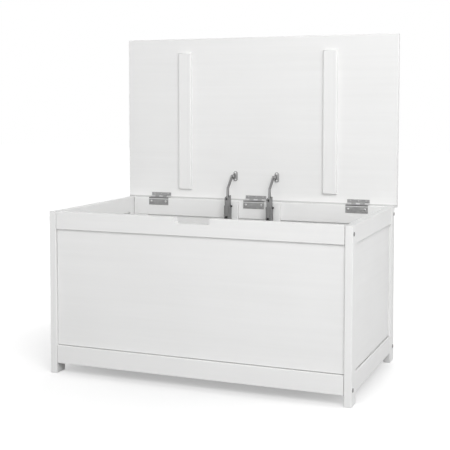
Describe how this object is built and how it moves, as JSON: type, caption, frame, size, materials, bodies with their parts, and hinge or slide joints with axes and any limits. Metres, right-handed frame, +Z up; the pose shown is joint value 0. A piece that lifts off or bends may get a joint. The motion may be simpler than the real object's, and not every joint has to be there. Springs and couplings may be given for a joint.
{
  "type": "wooden toy box",
  "caption": "White wooden toy chest on legs, with recessed panels, a finger notch in the front rail, and a hinged lid that spring-loaded supports hold open at any angle.",
  "frame": {"origin": "on the floor, at the middle of the footprint with the lid standing open", "axes": "+Z up, -Y towards the front with the finger notch, +X to the right seen from the front"},
  "size_m": [0.828, 0.483, 0.9045],
  "materials": {
    "white_painted_wood": "satin white paint",
    "bare_wood": "unfinished beech",
    "zinc_plate": "zinc plated",
    "bright_steel": "bright zinc",
    "grey_bolt": "dark grey zinc",
    "grey_enamel": "grey enamel",
    "grey_plastic": "moulded grey",
    "black_plastic": "black"
  },
  "bodies": {
    "chest": {"front_left_leg": "white_painted_wood", "front_right_leg": "white_painted_wood", "back_left_leg": "white_painted_wood", "back_right_leg": "white_painted_wood", "front_top_rail": "white_painted_wood", "front_bottom_rail": "white_painted_wood", "back_top_rail": "white_painted_wood", "back_bottom_rail": "white_painted_wood", "left_top_rail": "white_painted_wood", "left_bottom_rail": "white_painted_wood", "right_top_rail": "white_painted_wood", "right_bottom_rail": "white_painted_wood", "front_panel": "white_painted_wood", "back_panel": "white_painted_wood", "left_panel": "white_painted_wood", "right_panel": "white_painted_wood", "back_left_stile": "white_painted_wood", "back_right_stile": "white_painted_wood", "bottom_board": "white_painted_wood", "front_ledger": "white_painted_wood", "back_ledger": "white_painted_wood", "left_cleat": "white_painted_wood", "right_cleat": "white_painted_wood", "left_hinge_fixed_leaf": "zinc_plate", "middle_hinge_fixed_leaf": "zinc_plate", "right_hinge_fixed_leaf": "zinc_plate", "left_hinge_pin": "bright_steel", "middle_hinge_pin": "bright_steel", "right_hinge_pin": "bright_steel", "fixed_leaf_screws": "bright_steel", "connector_bolts": "grey_bolt", "barrel_nuts": "bright_steel", "frame_dowels": "bare_wood", "housing_screws": "bright_steel", "left_support_housing": "grey_enamel", "left_support_end_cap": "grey_plastic", "left_spring": "bright_steel", "left_guide_screw": "black_plastic", "right_support_housing": "grey_enamel", "right_support_end_cap": "grey_plastic", "right_spring": "bright_steel", "right_guide_screw": "black_plastic"},
    "lid": {"lid_board": "white_painted_wood", "left_batten": "white_painted_wood", "right_batten": "white_painted_wood", "moving_leaf_screws": "bright_steel", "bracket_screws": "bright_steel", "left_hinge_moving_leaf": "zinc_plate", "middle_hinge_moving_leaf": "zinc_plate", "right_hinge_moving_leaf": "zinc_plate", "left_lid_bracket": "zinc_plate", "left_bracket_pin": "bright_steel", "right_lid_bracket": "zinc_plate", "right_bracket_pin": "bright_steel"},
    "left_plunger_body": {"left_plunger": "grey_plastic"},
    "right_plunger_body": {"right_plunger": "grey_plastic"},
    "left_link_body": {"left_link": "zinc_plate"},
    "right_link_body": {"right_link": "zinc_plate"}
  },
  "joints": [
    {"name": "lid_hinge", "type": "hinge", "parent": "chest", "child": "lid", "pos_m": [0, 0.224, 0.4325], "axis": [1, 0, 0], "range_deg": [0, 90.5]},
    {"name": "left_link_pivot", "type": "hinge", "parent": "lid", "child": "left_link_body", "pos_m": [-0.0715, 0.2175, 0.5], "axis": [1, 0, 0], "range_deg": [-38.19, 0]},
    {"name": "left_plunger_slide", "type": "slide", "parent": "chest", "child": "left_plunger_body", "axis": [0, 0, 1], "range_m": [-0.0787, 0], "deforming": ["left_spring"]},
    {"name": "right_link_pivot", "type": "hinge", "parent": "lid", "child": "right_link_body", "pos_m": [0.0565, 0.2175, 0.5], "axis": [1, 0, 0], "range_deg": [-38.19, 0]},
    {"name": "right_plunger_slide", "type": "slide", "parent": "chest", "child": "right_plunger_body", "axis": [0, 0, 1], "range_m": [-0.0787, 0], "deforming": ["right_spring"]}
  ],
  "couplings": [
    {"joint": "left_link_pivot", "follows": "lid_hinge", "ratio": -0.42146},
    {"joint": "left_plunger_slide", "follows": "lid_hinge", "m_per_rad": -0.049731},
    {"joint": "right_link_pivot", "follows": "lid_hinge", "ratio": -0.42146},
    {"joint": "right_plunger_slide", "follows": "lid_hinge", "m_per_rad": -0.049731}
  ]
}
